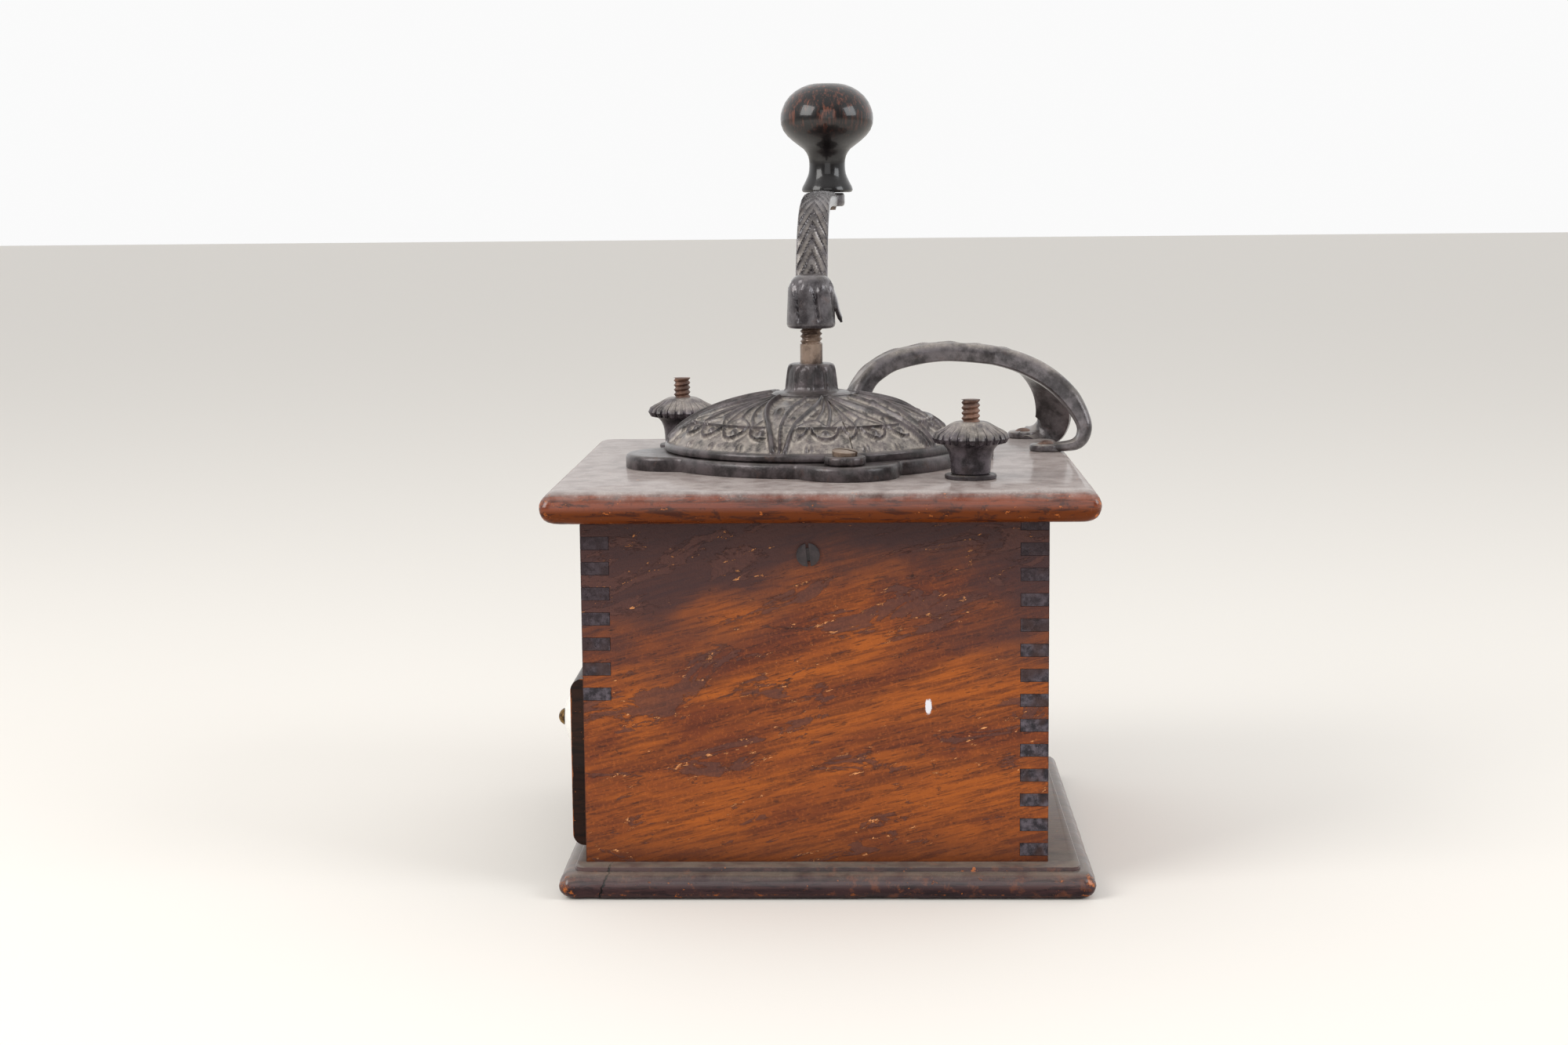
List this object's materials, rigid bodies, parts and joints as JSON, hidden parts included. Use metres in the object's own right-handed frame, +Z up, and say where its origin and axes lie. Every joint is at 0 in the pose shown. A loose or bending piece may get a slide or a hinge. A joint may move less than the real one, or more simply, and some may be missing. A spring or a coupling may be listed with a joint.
{
  "type": "hand crank coffee grinder",
  "caption": "Wooden box coffee mill with a finger-jointed case, front drawer, domed cast-iron hopper cover with a swinging lid, carry handle, finial nuts and a hand crank.",
  "frame": {"origin": "on the spindle axis, at the underside of the base board", "axes": "+Z up along the spindle, -Y towards the drawer front, +X to the right side seen from the drawer"},
  "size_m": [0.213, 0.195, 0.2711],
  "materials": {
    "case_wood": "old varnish, worn satin",
    "board_wood": "dusty worn varnish",
    "base_wood": "dark worn varnish",
    "drawer_front_wood": "dark stain, worn edges",
    "raw_wood": "unfinished",
    "porcelain": "white glaze",
    "brass": "tarnished",
    "black_iron": "worn black japanning with dust in the recesses",
    "grey_iron": "bare ground casting",
    "steel": "worn, lightly rusted",
    "rusty_steel": "rusted thread",
    "knob_wood": "black lacquer, gloss"
  },
  "bodies": {
    "case": {"base_board": "base_wood", "side_panel_right": "case_wood", "side_panel_left": "case_wood", "back_panel": "case_wood", "front_rail": "case_wood", "top_board": "board_wood", "cleat_right": "raw_wood", "cleat_left": "raw_wood", "side_screws": "steel", "hopper_crown": "black_iron", "crown_screws": "steel", "lid_pivot_screw": "steel", "mill_frame": "black_iron", "frame_bolt_front": "rusty_steel", "frame_bolt_back": "rusty_steel", "bolt_washer_front": "rusty_steel", "bolt_washer_back": "rusty_steel", "finial_nut_front": "black_iron", "finial_nut_back": "black_iron", "outer_burr": "grey_iron", "bridge": "grey_iron", "bridge_screws": "steel", "lock_nut": "steel", "carry_handle": "black_iron", "handle_screws": "steel"},
    "drawer": {"drawer_front": "drawer_front_wood", "drawer_side_right": "raw_wood", "drawer_side_left": "raw_wood", "drawer_back": "raw_wood", "drawer_bottom": "raw_wood", "drawer_pull": "porcelain", "pull_screw": "brass"},
    "lid": {"hopper_lid": "black_iron", "lid_button": "black_iron"},
    "lift": {"thrust_pad": "steel"},
    "adjuster": {"adjusting_screw": "steel"},
    "crank": {"spindle": "steel", "inner_burr": "grey_iron", "crank_arm": "black_iron", "knob_pin": "steel"},
    "knob": {"crank_knob": "knob_wood"}
  },
  "joints": [
    {"name": "drawer_slide", "type": "slide", "parent": "case", "child": "drawer", "axis": [0, -1, 0], "range_m": [0, 0.115]},
    {"name": "lid_swing", "type": "hinge", "parent": "case", "child": "lid", "pos_m": [0.05624, 0.01196, 0.14], "axis": [0, 0, 1], "range_deg": [0, 80]},
    {"name": "spindle_lift", "type": "slide", "parent": "case", "child": "lift", "axis": [0, 0, 1], "range_m": [0, 0.0012]},
    {"name": "adjuster_turn", "type": "hinge", "parent": "lift", "child": "adjuster", "pos_m": [0, 0, 0.07], "axis": [0, 0, 1], "range_deg": [0, 290]},
    {"name": "crank_spin", "type": "hinge", "parent": "lift", "child": "crank", "pos_m": [0, 0, 0.1], "axis": [0, 0, 1], "continuous": true},
    {"name": "knob_spin", "type": "hinge", "parent": "crank", "child": "knob", "pos_m": [-0.1049, 0.00458, 0.25], "axis": [0, 0, 1], "continuous": true}
  ],
  "couplings": [
    {"joint": "adjuster_turn", "follows": "spindle_lift", "rad_per_m": 4188.8}
  ]
}
